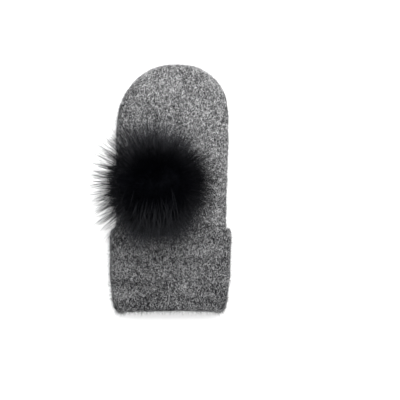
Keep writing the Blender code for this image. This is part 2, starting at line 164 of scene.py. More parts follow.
def hand_section(y):
    """Middle, left and right half widths, thickness, floor and tip share at each station."""
    out = ease((y - CUFF_HEIGHT) / CUFF_EXIT)
    dome_y = HAND_TOP - DOME_LENGTH
    along = (y - CUFF_HEIGHT) / (dome_y - CUFF_HEIGHT)
    dome = np.maximum(y - dome_y, 0) / DOME_LENGTH
    narrowing = np.maximum(1 - dome**DOME_ROUNDNESS, 0) ** (1 / DOME_ROUNDNESS)
    halves = []
    for side in ("left", "right"):
        in_cuff = CUFF_WIDTH / 2 * row_value(CUFF_OUTLINE, y / CUFF_HEIGHT, side) - LAYER_STEP
        beyond = HAND_WIDTH / 2 * row_value(HAND_OUTLINE, along, side)
        halves.append(blend(in_cuff, beyond, out) * narrowing)
    thick = blend(
        CUFF_THICKNESS - 2 * LAYER_STEP, HAND_THICKNESS * row_value(HAND_OUTLINE, along, "thick"), out
    )
    middle = blend(CUFF_SHIFT, 0, out) + DOME_LEAN * dome
    return middle, *halves, thick, LAYER_STEP * (1 - out), round_end(HAND_TOP - y, TIP_ROUNDING)


def oval(angle):
    """(across, rise) round a flat oval, both from -1 to 1."""
    up = np.sin(angle)
    power = 2 / np.where(up > 0, TOP_ROUNDNESS, BOTTOM_ROUNDNESS)
    return signed_power(np.cos(angle), power), signed_power(up, power)


def hand_points(angle, y):
    """Points of the hand's outside, for arrays of angles and stations."""
    middle, left, right, thick, floor, tip = hand_section(y)
    across, rise = oval(angle)
    reach = np.where(rise > 0, (1 - EDGE_LEVEL) * thick, EDGE_LEVEL * thick + SETTLE)
    x = middle + np.where(across > 0, right, left) * across
    z = np.maximum(floor + EDGE_LEVEL * thick + reach * tip * rise, floor) + hand_lift(x, y, floor, rise)
    dent = dent_depth(HAND_DENTS, x / (HAND_WIDTH / 2), (y - CUFF_HEIGHT) / (HAND_TOP - CUFF_HEIGHT))
    z = z - np.maximum(rise, 0) * dent
    return np.stack(np.broadcast_arrays(x, y + FOLD_Y, z), axis=-1)


def sheet_normals(points):
    """Outward normals of a grid of points whose second axis runs round a closed ring."""
    along = np.gradient(points, axis=0)
    around = np.roll(points, -1, axis=1) - np.roll(points, 1, axis=1)
    normal = np.cross(along, around)
    return normal / np.maximum(np.linalg.norm(normal, axis=-1, keepdims=True), 1e-12)


def felted(points, normals, seed):
    """The felt's relief along the normals: its slow unevenness, its crumb and its grain."""
    flat = points.reshape(-1, 3)
    shift = Vector((seed * 7.3, seed * 3.1, 0))
    relief = np.empty(len(flat))
    for i, point in enumerate(flat):
        at = Vector(point)
        relief[i] = sum(swell.height * noise.noise(at * swell.per_metre + shift) for swell in FELT_SWELLS)
    moved = points + normals * relief.reshape(points.shape[:-1])[..., None]
    moved[..., 2] = np.maximum(moved[..., 2], np.minimum(points[..., 2], 0.0))
    return moved


def grid_faces(rows, columns, closed):
    """Quads between rows of points round closed rings; the last row joins the first if closed."""
    row = np.arange(rows if closed else rows - 1)[:, None]
    i = np.arange(columns)[None, :]
    here, after, beside = row * columns, (row + 1) % rows * columns, (i + 1) % columns
    return np.stack([here + i, here + beside, after + beside, after + i], axis=-1).reshape(-1, 4)


def capped(rows, tips):
    """The points and faces of rings of points that close at a tip at each end."""
    count, around = rows.shape[:2]
    points = np.concatenate([rows.reshape(-1, 3), tips])
    faces = grid_faces(count, around, False).tolist()
    last = (count - 1) * around
    for i in range(around):
        beside = (i + 1) % around
        faces.append([beside, i, len(points) - 2])
        faces.append([last + i, last + beside, len(points) - 1])
    return points, faces


def piece_of(name, mesh, finish):
    """A piece of the mitten that moves with it."""
    mesh.materials.append(finish)
    piece = bpy.data.objects.new(name, mesh)
    bpy.context.scene.collection.objects.link(piece)
    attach(piece, "root")
    return piece


def felt_piece(name, points, faces, finish):
    """A smooth-shaded sheet of wool."""
    mesh = bpy.data.meshes.new(name)
    mesh.from_pydata(points.reshape(-1, 3).tolist(), [], faces)
    mesh.shade_smooth()
    return piece_of(name, mesh, finish)


class Socket:
    """The output of a material's node. Arithmetic on it adds Math nodes."""

    def __init__(self, finish, output):
        self.finish = finish
        self.output = output

    def math(self, operation, first, second):
        return self.finish.add("ShaderNodeMath", {"operation": operation}, {0: first, 1: second})

    def __add__(self, other):
        return self.math("ADD", self, other)

    def __sub__(self, other):
        return self.math("SUBTRACT", self, other)

    def __rsub__(self, other):
        return self.math("SUBTRACT", other, self)

    def __mul__(self, other):
        return self.math("MULTIPLY", self, other)

    __radd__ = __add__


class Finish:
    """A material round one Principled shader."""

    def __init__(self, name, **constants):
        self.material = bpy.data.materials.new(name)
        self.material.use_nodes = True
        self.tree = self.material.node_tree
        self.shader = self.tree.nodes["Principled BSDF"]
        for socket, value in constants.items():
            self.shader.inputs[socket.replace("_", " ")].default_value = value

    def add(self, kind, settings, sockets, output=0):
        node = self.tree.nodes.new(kind)
        for key, value in settings.items():
            if key == "stops":
                for at, _ in value[2:]:
                    node.color_ramp.elements.new(at)
                for element, (at, tone) in zip(node.color_ramp.elements, sorted(value)):
                    element.position = at
                    element.color = tone if isinstance(tone, tuple) else (tone, tone, tone, 1)
            else:
                setattr(node, key, value)
        for key, value in sockets.items():
            self.feed(node.inputs[key], value)
        return Socket(self, node.outputs[output])

    def feed(self, entry, value):
        if isinstance(value, Socket):
            self.tree.links.new(value.output, entry)
        else:
            entry.default_value = value

    def set(self, name, value):
        self.feed(self.shader.inputs[name], value)


SMOOTH = {"interpolation_type": "SMOOTHSTEP"}
Streak = namedtuple("Streak", "turn length width low high")  # degrees from +Y, metres, the mask's limits
PALE_STREAKS = [
    Streak(12, 0.0026, 0.0006, 0.50, 0.64),
    Streak(-40, 0.0024, 0.0006, 0.51, 0.65),
    Streak(70, 0.0022, 0.0006, 0.53, 0.67),
]
DEEP_STREAKS = [
    Streak(-18, 0.0026, 0.0007, 0.50, 0.64),
    Streak(44, 0.0024, 0.0007, 0.51, 0.65),
    Streak(-75, 0.0022, 0.0007, 0.52, 0.66),
]


def streak_mask(wool, place, streaks):
    """A mask of short fibres, those of each streak at their own angle."""
    masks = []
    for streak in streaks:
        thin, long = 1 / streak.width, 1 / streak.length
        turn = (0, 0, math.radians(streak.turn))
        laid = {"Vector": place, "Rotation": turn, "Scale": (thin, long, thin)}
        laid = wool.add("ShaderNodeMapping", {"vector_type": "POINT"}, laid)
        grain = {"Vector": laid, "Scale": 1.0, "Detail": 1.5, "Roughness": 0.6}
        grain = wool.add("ShaderNodeTexNoise", {}, grain)
        masks.append(wool.add("ShaderNodeMapRange", SMOOTH, {0: grain, 1: streak.low, 2: streak.high}))
    return sum(masks[1:], masks[0])


MOTTLE, CLOUD, CLOUD_SCALE = 0.40, 0.25, 120.0
# A band of painted shade along a crease, or of painted light where its shade is below zero.
PaintedShadeBand = namedtuple("PaintedShadeBand", "full gone y reach shade")  # across from where it is full to where it ends


def clouds_and_painted_shade(wool, place, stretch, painted_bands):
    """Where the felt lies lighter or darker at random over a few fibres, with painted shade along its
    creases and painted light on the cloth raised beside them.
    """
    spread = wool.add("ShaderNodeVectorMath", {"operation": "MULTIPLY"}, {0: place, 1: stretch})
    mottle = wool.add("ShaderNodeTexNoise", {}, {"Vector": spread, "Scale": 1.0, "Detail": 1.0})
    cloud = wool.add("ShaderNodeTexNoise", {}, {"Vector": place, "Scale": CLOUD_SCALE, "Detail": 2.0})
    shade = (mottle - 0.5) * MOTTLE + (cloud - 0.5) * CLOUD
    x = wool.add("ShaderNodeSeparateXYZ", {}, {"Vector": place}, output=0)
    y = wool.add("ShaderNodeSeparateXYZ", {}, {"Vector": place}, output=1)
    # Each band darkens the tone as painted shade, or lightens it as painted light where its shade is
    # below zero.
    for painted_band in painted_bands:
        off = wool.add("ShaderNodeMath", {"operation": "ABSOLUTE"}, {0: y - painted_band.y})
        deep = {0: off, 1: 0.0, 2: painted_band.reach, 3: painted_band.shade, 4: 0.0}
        ends = {0: x, 1: painted_band.full, 2: painted_band.gone, 3: 1.0, 4: 0.0}
        deep = wool.add("ShaderNodeMapRange", SMOOTH, deep)
        shade = shade - deep * wool.add("ShaderNodeMapRange", SMOOTH, ends)
    return shade


WANDER, WANDER_SCALE = 0.004, 260.0  # how far the streaks stray from straight lines
HAIR_SCALE = 2600.0


def heather_wool(name, dark, middle, light, stretch, painted_bands):
    """Felt of dark and light fibres, mixed before the yarn is spun."""
    wool = Finish(name, Roughness=0.95, Specular_IOR_Level=0.08)
    place = wool.add("ShaderNodeTexCoord", {}, {}, output="Object")
    wander = {"Vector": place, "Scale": WANDER_SCALE, "Detail": 1.0}
    wander = wool.add("ShaderNodeTexNoise", {}, wander, output="Color")
    wander = wool.add("ShaderNodeVectorMath", {"operation": "SUBTRACT"}, {0: wander, 1: (0.5, 0.5, 0.5)})
    wander = wool.add("ShaderNodeVectorMath", {"operation": "SCALE"}, {0: wander, "Scale": WANDER})
    place = wool.add("ShaderNodeVectorMath", {"operation": "ADD"}, {0: place, 1: wander})
    pale = streak_mask(wool, place, PALE_STREAKS)
    deep = streak_mask(wool, place, DEEP_STREAKS)
    shade = 0.45 + pale * 0.5 - deep * 0.4 + clouds_and_painted_shade(wool, place, stretch, painted_bands)
    stops = [(0.0, dark), (1.0, light), (0.5, middle)]
    wool.set("Base Color", wool.add("ShaderNodeValToRGB", {"stops": stops}, {0: shade}))
    hairs = wool.add("ShaderNodeTexNoise", {}, {"Vector": place, "Scale": HAIR_SCALE, "Detail": 2.0})
    height = pale * 0.6 + deep * 0.4 + hairs * 0.5
    bump = {"Strength": 0.5, "Distance": 0.0004, "Height": height}
    wool.set("Normal", wool.add("ShaderNodeBump", {}, bump))
    return wool.material


STRAND_TAPER = 0.75  # how much of its width a strand loses on its way to the tip


def strands(name, paths, widths, tones_and_painted_light, facing, finish):
    """Fine hairs as one piece: a narrow ribbon along each row of points, tapered to its tip.

    Each has its own cell in the map, and keeps its tone, with any painted light, and the share of its
    length as attributes.
    """
    count, steps = paths.shape[:2]
    ahead = np.gradient(paths, axis=1)
    across = np.cross(ahead, facing[:, None, :])
    across /= np.maximum(np.linalg.norm(across, axis=-1, keepdims=True), 1e-9)
    taper = 1 - np.linspace(0, 1, steps)[:-1] ** 2 * STRAND_TAPER
    half = widths[:, None, None] / 2 * taper[None, :, None]
    spine, half = paths[:, :-1], across[:, :-1] * half
    body = np.stack([spine - half, spine + half], axis=2).reshape(count, -1, 3)
    points = np.concatenate([body, paths[:, -1:]], axis=1)
    each = points.shape[1]
    corners = []
    for step in range(steps - 2):
        corners += [2 * step, 2 * step + 1, 2 * step + 3, 2 * step + 2]
    corners += [each - 3, each - 2, each - 1]
    sizes = [4] * (steps - 2) + [3]
    mesh = bpy.data.meshes.new(name)
    mesh.vertices.add(count * each)
    mesh.vertices.foreach_set("co", points.ravel())
    loops = (np.arange(count)[:, None] * each + np.array(corners)[None, :]).ravel()
    mesh.loops.add(len(loops))
    mesh.loops.foreach_set("vertex_index", loops.astype(np.int32))
    mesh.polygons.add(count * len(sizes))
    starts = np.concatenate([[0], np.cumsum(sizes)[:-1]])
    starts = (np.arange(count)[:, None] * len(corners) + starts[None, :]).ravel()
    mesh.polygons.foreach_set("loop_start", starts.astype(np.int32))
    along = np.append(np.repeat(np.arange(steps - 1) / (steps - 1), 2), 1.0)
    mesh.attributes.new("along", "FLOAT", "POINT").data.foreach_set("value", np.tile(along, count))
    mesh.attributes.new("tint", "FLOAT", "POINT").data.foreach_set("value", np.repeat(tones_and_painted_light, each))
    cells = math.ceil(math.sqrt(count))
    beside = np.append(np.tile([0.1, 0.9], steps - 1), 0.5)
    local = np.stack([beside, 0.05 + 0.9 * along], axis=-1)[corners]
    corner = np.stack([np.arange(count) % cells, np.arange(count) // cells], axis=-1)
    uvs = (corner[:, None, :] + local[None, :, :]) / cells
    mesh.uv_layers.new(name="OFBake").data.foreach_set("uv", uvs.ravel())
    mesh.update(calc_edges=True)
    return piece_of(name, mesh, finish)


def unit(vectors):
    return vectors / np.maximum(np.linalg.norm(vectors, axis=-1, keepdims=True), 1e-9)


SIDE_CROWDING = 2.5  # how much closer the fibres lie on the upright sides
LYING_LENGTH, LYING_LIFT, LYING_WIDTH = (0.0014, 0.0040), (0.0001, 0.0004), (0.00018, 0.00038)
STANDING_LENGTH, STANDING_WIDTH = (0.0010, 0.0040), (0.00008, 0.00016)
STANDING_LEAST, STANDING_MEAN, STANDING_MORE = 0.0004, 0.0019, 0.0065
STANDING_SHARE, STANDING_AT_EDGE = 0.05, 0.6
FIBRE_CURL, FIBRE_SINK, FIBRE_SCATTER = 0.35, 0.00005, 0.45


def spread_over(points, normals, count, rng, keep):
    """Random places on a grid of points: where they are, their normals and the way to the next row."""
    a, b = points[:-1], points[1:]
    area = np.linalg.norm(np.cross(np.roll(a, -1, axis=1) - a, b - a), axis=-1)
    area = area * keep(a) * (1 + SIDE_CROWDING * (1 - np.abs(normals[:-1, :, 2])) ** 2)
    chosen = rng.choice(area.size, size=count, p=area.ravel() / area.sum())
    row, column = np.unravel_index(chosen, area.shape)
    s, t = rng.random((2, count, 1))
    beside = (column + 1) % points.shape[1]
    low = points[row, column] * (1 - s) + points[row, beside] * s
    high = points[row + 1, column] * (1 - s) + points[row + 1, beside] * s
    return low * (1 - t) + high * t, normals[row, column], unit(high - low)


def wool_fuzz(name, points, normals, count, seed, finish, keep):
    """Loose fibre ends: most lie in the felt, and a few stand out of it as a halo."""
    rng = np.random.default_rng(seed)
    root, normal, up = spread_over(points, normals, count, rng, keep)
    side = np.cross(normal, up)
    turn = rng.normal(0, 1.0, (count, 1)) + math.pi * rng.integers(0, 2, (count, 1))
    along = up * np.cos(turn) + side * np.sin(turn)
    edge = 1 - np.abs(normal[:, 2:])
    stands = rng.random((count, 1)) < STANDING_SHARE + STANDING_AT_EDGE * edge
    standing, lying = rng.uniform(*STANDING_LENGTH, (count, 1)), rng.uniform(*LYING_LENGTH, (count, 1))
    length = np.where(stands, standing, lying)
    tall = STANDING_LEAST + rng.exponential(STANDING_MEAN, (count, 1)).clip(0, STANDING_MORE)
    lift = np.where(stands, tall, rng.uniform(*LYING_LIFT, (count, 1)))
    curl = rng.normal(0, FIBRE_CURL, (count, 1)) * length
    across = np.cross(normal, along)
    steps = np.linspace(0, 1, 4)[None, :, None]
    arch = np.where(stands[:, None], steps, 4 * steps * (1 - steps) * 0.9 + 0.1)
    paths = root[:, None] + along[:, None] * length[:, None] * (steps - 0.5)
    paths = paths + across[:, None] * curl[:, None] * 4 * steps * (1 - steps)
    paths = paths + normal[:, None] * (lift[:, None] * arch - FIBRE_SINK)
    paths[..., 2] = np.maximum(paths[..., 2], FIBRE_SINK)
    facing = unit(np.where(stands, 0.2, 1) * normal + rng.normal(0, FIBRE_SCATTER, (count, 3)))
    thin, wide = rng.uniform(*STANDING_WIDTH, count), rng.uniform(*LYING_WIDTH, count)
    widths = np.where(stands[:, 0], thin, wide)
    # Fibres on the upright sides are paler, the standing ones most: painted rim light where the fuzz
    # catches the light at the outline.
    tones_and_painted_light = np.minimum(rng.beta(0.55, 0.6, count) + (0.22 + 0.33 * stands[:, 0]) * edge[:, 0], 1)
    return strands(name, paths, widths, tones_and_painted_light, facing, finish)


def fibre_finish(name, dark, middle, light, stretch, painted_bands):
    """The same wool as single fibres, each with its own tone, paler by painted rim light on the upright
    sides, and the felt's painted shade.
    """
    fibre = Finish(name, Roughness=0.8, Specular_IOR_Level=0.2)
    place = fibre.add("ShaderNodeTexCoord", {}, {}, output="Object")
    tint = fibre.add("ShaderNodeAttribute", {"attribute_name": "tint"}, {}, output="Fac")
    shade = tint * 0.9 + 0.05 + clouds_and_painted_shade(fibre, place, stretch, painted_bands)
    stops = [(0.15, dark), (0.85, light), (0.5, middle)]
    fibre.set("Base Color", fibre.add("ShaderNodeValToRGB", {"stops": stops}, {0: shade}))
    return fibre.material


HAND_CLOUDS = (48, 36, 40)  # to the metre
# Painted shade over the dent at the upper left of the hand, and a fainter band of it at the right side.
HAND_PAINTED_SHADE = [PaintedShadeBand(-0.046, 0.000, 0.150, 0.042, 0.15), PaintedShadeBand(0.046, 0.016, 0.080, 0.050, 0.05)]
HAND_TONES = [(0.006, 0.006, 0.007, 1), (0.070, 0.070, 0.072, 1), (0.285, 0.285, 0.288, 1)]
HAND_FIBRE_TONES = [(0.006, 0.006, 0.007, 1), (0.076, 0.076, 0.078, 1), (0.49, 0.49, 0.494, 1)]
hand_wool = heather_wool("hand_wool", *HAND_TONES, HAND_CLOUDS, HAND_PAINTED_SHADE)
hand_fibre = fibre_finish("hand_fibre", *HAND_FIBRE_TONES, HAND_CLOUDS, HAND_PAINTED_SHADE)

ring = np.linspace(0, 2 * math.pi, HAND_AROUND, endpoint=False)[None, :]
straight = np.linspace(HAND_START, HAND_TOP - DOME_LENGTH, HAND_ALONG * 2 // 3, endpoint=False)
dome = HAND_TOP - DOME_LENGTH + DOME_LENGTH * np.sin(np.linspace(0, LAST_RING, HAND_ALONG // 3))
outer = hand_points(ring, np.concatenate([straight, dome])[:, None])
outer_normals = sheet_normals(outer)
lining = (outer - WALL * outer_normals)[np.linspace(0, len(outer) - 4, LINING_ALONG).astype(int)]
outside = felted(outer, outer_normals, 1)
rows = np.concatenate([lining[::-1], outside])
tips = [lining[-1].mean(axis=0) + (0, WALL / 4, 0), outside[-1].mean(axis=0)]
tips[1][1] = HAND_TOP + FOLD_Y
hand = felt_piece("hand_felt", *capped(rows, tips), hand_wool)
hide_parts("hand")

UNDERSIDE, UNDERSIDE_SHARE = 0.0015, 0.15  # below this height, only this share of the fibres


def shows(points):
    """Where fibres grow: fewer of them where the wool lies on the floor."""
    return np.where(points[..., 2] < UNDERSIDE, UNDERSIDE_SHARE, 1)


def hand_shows(points):
    """The hand's outside beyond the cuff."""
    return (points[..., 1] > CUFF_HEIGHT + FOLD_Y - 0.001) * shows(points)


wool_fuzz("hand_fuzz", outside, outer_normals, HAND_FIBRES, 11, hand_fibre, hand_shows)

# The cuff: the long wrist of the same knitted tube, turned up once over itself, so that it is two
# layers with a round fold at the wrist. It shows the felt's other face, and its colours are darker
# than the hand's, partly for that face and partly as painted shade. Its thick free edge stands off
# the back of the hand.

CUFF_ARCH, JOIN_Y = 0.002, 0.0717
CUFF_DENTS = [
    Dent(-0.60, 0.46, 0.80, 0.13, 0.45),
    Dent(0.45, 0.40, 0.75, 0.12, 0.30),
    Dent(-0.30, 0.70, 0.70, 0.20, -0.25),
    Dent(0.15, 0.20, 0.90, 0.16, -0.20),
    Dent(-0.55, 0.30, 0.62, 0.055, 0.75),
    Dent(0.50, 0.24, 0.50, 0.05, 0.55),
]
LIP, LIP_REACH = 0.0011, 0.005  # how far the free edge turns up, and within what reach
FOLD_REACH, FOLD_CROWDING = 0.0025, 3.0  # the fibres stand closer along the fold
CUFF_AROUND, CUFF_ALONG, FOLD_STEPS = 240, 96, 18
CUFF_FIBRES = 21000


def cuff_points(angle, y, inset):
    """Points this far inside the cuff's outer face."""
    along = y / CUFF_HEIGHT
    across, rise = oval(angle)
    half = CUFF_WIDTH / 2 * np.where(
        across > 0, row_value(CUFF_OUTLINE, along, "right"), row_value(CUFF_OUTLINE, along, "left")
    )
    level = EDGE_LEVEL * CUFF_THICKNESS
    reach = np.where(rise > 0, CUFF_THICKNESS - level, level + SETTLE) - inset
    x = (half - inset) * across
    z = np.maximum(level + reach * rise, inset)
    z = z - np.maximum(rise, 0) * dent_depth(CUFF_DENTS, x / (half - inset), along)
    z = z + LIP * np.maximum(rise, 0) * np.exp((y - CUFF_HEIGHT) / LIP_REACH) * (inset <= WALL)
    arch = CUFF_ARCH * (1 - (x / (half - inset)) ** 2) * (1 - along)
    return np.stack(np.broadcast_arrays(CUFF_SHIFT + x, y + arch + FOLD_Y, z), axis=-1)


def turned_path():
    """(y, inset) once round the fabric's section: outer face, fold, inner face and back between."""
    centre = WALL / 2 + LAYER_STEP / 2
    wide, narrow = centre, LAYER_STEP / 2 - WALL / 2
    edge = CUFF_HEIGHT - WALL / 2
    path = [(y, 0.0) for y in np.linspace(edge, centre, CUFF_ALONG)]
    for turn in np.linspace(0, math.pi, FOLD_STEPS)[1:]:
        path.append((centre - wide * math.sin(turn), centre - wide * math.cos(turn)))
    path += [(y, 2 * centre) for y in np.linspace(centre, JOIN_Y, 30)[1:]]
    path += [(y, 2 * centre - WALL) for y in np.linspace(JOIN_Y, centre, 8)]
    for turn in np.linspace(0, math.pi, 4)[1:]:
        path.append((centre - narrow * math.sin(turn), centre + narrow * math.cos(turn)))
    path += [(y, WALL) for y in np.linspace(centre, edge, 8)[1:]]
    for turn in np.linspace(0, math.pi, 10)[1:-1]:
        path.append((edge + WALL / 2 * math.sin(turn), WALL / 2 + WALL / 2 * math.cos(turn)))
    return np.array(path)


CUFF_CLOUDS = (26, 70, 40)  # to the metre: drawn out across the wrist
# Painted shade: darker towards the bottom fold, which turns away from the light, and along a crease at
# the left and one at the right. The two bands below zero are painted light on the cloth raised at the
# left.
CUFF_PAINTED_SHADE_AND_LIGHT = [
    PaintedShadeBand(0.060, 0.200, -0.033, 0.030, 0.12),
    PaintedShadeBand(-0.046, -0.016, -0.0120, 0.0058, 0.20),
    PaintedShadeBand(-0.046, -0.016, 0.0020, 0.0080, -0.07),
    PaintedShadeBand(-0.046, -0.016, -0.0225, 0.0050, -0.08),
    PaintedShadeBand(0.050, 0.012, -0.0165, 0.0065, 0.12),
]
# Darker than the hand's tones: partly the felt's other face, partly painted shade, the cuff lying farther
# from the light.
CUFF_TONES = [(0.001, 0.001, 0.002, 1), (0.032, 0.032, 0.034, 1), (0.235, 0.235, 0.238, 1)]
CUFF_FIBRE_TONES = [(0.001, 0.001, 0.002, 1), (0.034, 0.034, 0.036, 1), (0.34, 0.34, 0.343, 1)]
cuff_wool = heather_wool("cuff_wool", *CUFF_TONES, CUFF_CLOUDS, CUFF_PAINTED_SHADE_AND_LIGHT)
cuff_fibre = fibre_finish("cuff_fibre", *CUFF_FIBRE_TONES, CUFF_CLOUDS, CUFF_PAINTED_SHADE_AND_LIGHT)
path = turned_path()
ring = np.linspace(0, 2 * math.pi, CUFF_AROUND, endpoint=False)[None, :]
band = cuff_points(ring, path[:, :1], path[:, 1:])
around = np.roll(band, -1, axis=1) - np.roll(band, 1, axis=1)
onward = np.roll(band, -1, axis=0) - np.roll(band, 1, axis=0)
band_normals = unit(np.cross(around, onward))
band = felted(band, band_normals, 2)
faces = grid_faces(len(band), CUFF_AROUND, True)[:, ::-1].tolist()
cuff = felt_piece("cuff_felt", band, faces, cuff_wool)
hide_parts("cuff")


def cuff_shows(points):
    """The cuff's outside, more of it along the fold."""
    return np.where(points[..., 1] < FOLD_Y + FOLD_REACH, FOLD_CROWDING, 1) * shows(points)


outside = np.arange(-8, CUFF_ALONG + FOLD_STEPS + 4)  # from the free edge to just inside the fold
wool_fuzz("cuff_fuzz", band[outside], band_normals[outside], CUFF_FIBRES, 12, cuff_fibre, cuff_shows)

# The thumb: a pouch of the same felt, knitted on at the palm and folded flat under it, so that only
# its edge shows from the side.

HEEL_ROUNDING, TIP_END, END_EDGE = 0.022, 0.025, 0.007
THUMB_AROUND, THUMB_ALONG, END_TURN = 110, 100, 0.06
THUMB_FIBRES = 5000


def thumb_points(angle, along):
    ends = round_end(along, HEEL_ROUNDING) * round_end(THUMB_LENGTH - along, TIP_END)
    edges = round_end(along, END_EDGE) * round_end(THUMB_LENGTH - along, END_EDGE)
    across, rise = oval(angle)
    thick = thumb_fullness(along)
    reach = np.where(rise > 0, thick / 2, thick / 2 + SETTLE)
    z = np.maximum(thick / 2 + reach * edges * rise, 0)
    across = THUMB_WIDTH / 2 * ends * across
    x = HEEL[0] + across * math.cos(THUMB_LEAN) - along * math.sin(THUMB_LEAN)
    y = HEEL[1] + along * math.cos(THUMB_LEAN) + across * math.sin(THUMB_LEAN)
    return np.stack(np.broadcast_arrays(x, y + FOLD_Y, z), axis=-1)


ring = np.linspace(0, 2 * math.pi, THUMB_AROUND, endpoint=False)[None, :]
stations = THUMB_LENGTH * (1 - np.cos(np.linspace(END_TURN, math.pi - END_TURN, THUMB_ALONG))) / 2
pouch = thumb_points(ring, stations[:, None])
pouch_normals = sheet_normals(pouch)
pouch = felted(pouch, pouch_normals, 3)
pouch[..., 2] = np.minimum(pouch[..., 2], thumb_fullness(stations)[:, None])
thumb = felt_piece("thumb_felt", *capped(pouch, pouch[[0, -1]].mean(axis=1)), hand_wool)
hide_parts("thumb")


def thumb_shows(points):
    """The thumb's outside, apart from its top, which the palm covers."""
    return shows(points) * (points[..., 2] < THUMB_THICKNESS - 0.001)


wool_fuzz("thumb_fuzz", pouch, pouch_normals, THUMB_FIBRES, 13, hand_fibre, thumb_shows)

# The tie: a waxed black cord sewn through the back of the hand and knotted into the pompom's middle.
# Only its flat head inside the hand can be seen, through the cuff.

cord = Finish("tie_cord", Roughness=0.75, Specular_IOR_Level=0.3)
place = cord.add("ShaderNodeTexCoord", {}, {}, output="Object")
plies = {"Vector": place, "Scale": 220.0, "Distortion": 1.5, "Detail": 1.0}
twist = cord.add("ShaderNodeTexWave", {}, plies)
stops = [(0.0, 0.006), (1.0, 0.030)]
cord.set("Base Color", cord.add("ShaderNodeValToRGB", {"stops": stops}, {0: twist}))
bump = {"Strength": 0.6, "Distance": 0.0003, "Height": twist}
cord.set("Normal", cord.add("ShaderNodeBump", {}, bump))
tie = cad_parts["pompom_tie"]
tie.data.materials.clear()
tie.data.materials.append(cord.material)

# The pompom: long black fur gathered into a ball on the tie. Its underfur is dense and soft, and
# over it lie longer guard hairs that draw together into wisps at the rim.

TIE_LOW, TIE_HIGH = (Vector(corner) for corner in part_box("pompom_tie"))
FUR_TOP = Vector(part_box("pompom")[1]).z
SEAT_Z = TIE_HIGH.z - 0.012
FUR_MIDDLE = np.array([(TIE_LOW.x + TIE_HIGH.x) / 2, (TIE_LOW.y + TIE_HIGH.y) / 2, SEAT_Z + 0.0224])
FUR_HALF = np.array([0.0505, 0.0585, FUR_TOP - FUR_MIDDLE[2]])
UNDERFUR, GUARD_HAIRS, LOCKS, FRINGE, FRINGE_LOCKS = 13000, 22000, 6000, 36000, 2600
WISPS, WISP_HAIRS, COMBED = 640, 5, 560
FANNED = WISPS * 3 // 4  # the wisps that fan out over the edge of the hand
LONGEST, WISP_LONGEST = 1.3, 1.34  # as shares of the ball
WISP_LIMIT, WISP_EASE = 0.0775, 0.0055  # towards -X they spread no further than the sum
HEART_DEPTH, HEART_ROUGH, HEART_FINE = 0.09, 0.03, 0.02
CLEAR, TIP_CLEAR, COMBED_CLEAR = 0.0008, 0.002, 0.002  # of the wool
Hair = namedtuple("Hair", "root droop points thinnest thickest")
UNDER_HAIR = Hair(0.45, 0.004, 4, 0.00018, 0.00032)
GUARD_HAIR = Hair(0.5, 0.007, 5, 0.00012, 0.00024)
FRINGE_HAIR = Hair(0.6, 0.006, 4, 0.00007, 0.00012)
WISP_HAIR = Hair(0.6, 0.007, 7, 0.00011, 0.00018)


def back_height(x, y):
    """The top of the wool under a point."""
    y = y - FOLD_Y
    middle, left, right, thick, floor, tip = hand_section(y)
    share = np.abs(x - middle) / np.maximum(np.where(x > middle, right, left), 1e-6)
    arch = np.maximum(1 - np.minimum(share, 1) ** TOP_ROUNDNESS, 0) ** (1 / TOP_ROUNDNESS)
    hand_z = floor + thick * (EDGE_LEVEL + (1 - EDGE_LEVEL) * tip * arch)
    hand_z = np.where(share < 1, hand_z + hand_lift(x, y, floor, arch), 0)
    share = np.abs(x - CUFF_SHIFT) / (CUFF_WIDTH / 2)
    arch = np.maximum(1 - np.minimum(share, 1) ** TOP_ROUNDNESS, 0) ** (1 / TOP_ROUNDNESS)
    cuff_z = CUFF_THICKNESS * (EDGE_LEVEL + (1 - EDGE_LEVEL) * arch)
    return np.where((y < CUFF_HEIGHT) & (share < 1), np.maximum(hand_z, cuff_z), hand_z)


def ball_directions(count, rng, lowest):
    """Unit directions spread over a ball, none of them pointing down more steeply than lowest."""
    z = rng.uniform(lowest, 1, count)
    turn = rng.uniform(0, 2 * math.pi, count)
    flat = np.sqrt(1 - z**2)
    return np.stack([flat * np.cos(turn), flat * np.sin(turn), z], axis=-1)


def fur_paths(hair, way, tip_share, sideways):
    """Hairs from inside the ball to its outline, bent by their own weight and clear of the wool."""
    t = np.linspace(0, 1, hair.points)[None, :, None]
    share = hair.root + (tip_share - hair.root)[:, None, None] * t
    paths = FUR_MIDDLE + (way[:, None] * share + sideways[:, None] * t**1.6) * FUR_HALF
    level = np.sqrt(np.maximum(1 - way[:, 2] ** 2, 0))[:, None]
    paths[..., 2] -= hair.droop * level * t[..., 0] ** 2
    ground = back_height(paths[..., 0], paths[..., 1]) + CLEAR + TIP_CLEAR * t[..., 0]
    paths[..., 2] = np.maximum(paths[..., 2], ground)
    return paths


def fur_finish(name, root, tip, shine):
    """Black hair, painted with a cool charcoal sheen towards its tips."""
    fur = Finish(name, Roughness=0.55, Specular_IOR_Level=shine)
    tint = fur.add("ShaderNodeAttribute", {"attribute_name": "tint"}, {}, output="Fac")
    along = fur.add("ShaderNodeAttribute", {"attribute_name": "along"}, {}, output="Fac")
    tip_sheen = along * (2 - along) * tint
    stops = [(0.0, root), (1.0, tip)]
    fur.set("Base Color", fur.add("ShaderNodeValToRGB", {"stops": stops}, {0: tip_sheen}))
    return fur.material


def body_share(way):
    """How far out the dense fur reaches, as a share of the ball: less towards the fingertips."""
    ways = [Vector(each) for each in way]
    lobes = np.array([noise.noise(each * 1.9) + 0.4 * noise.noise(each * 5) for each in ways])
    return 0.76 + 0.08 * np.abs(way[:, 0]) - 0.24 * np.maximum(way[:, 1], 0) + 0.10 * lobes


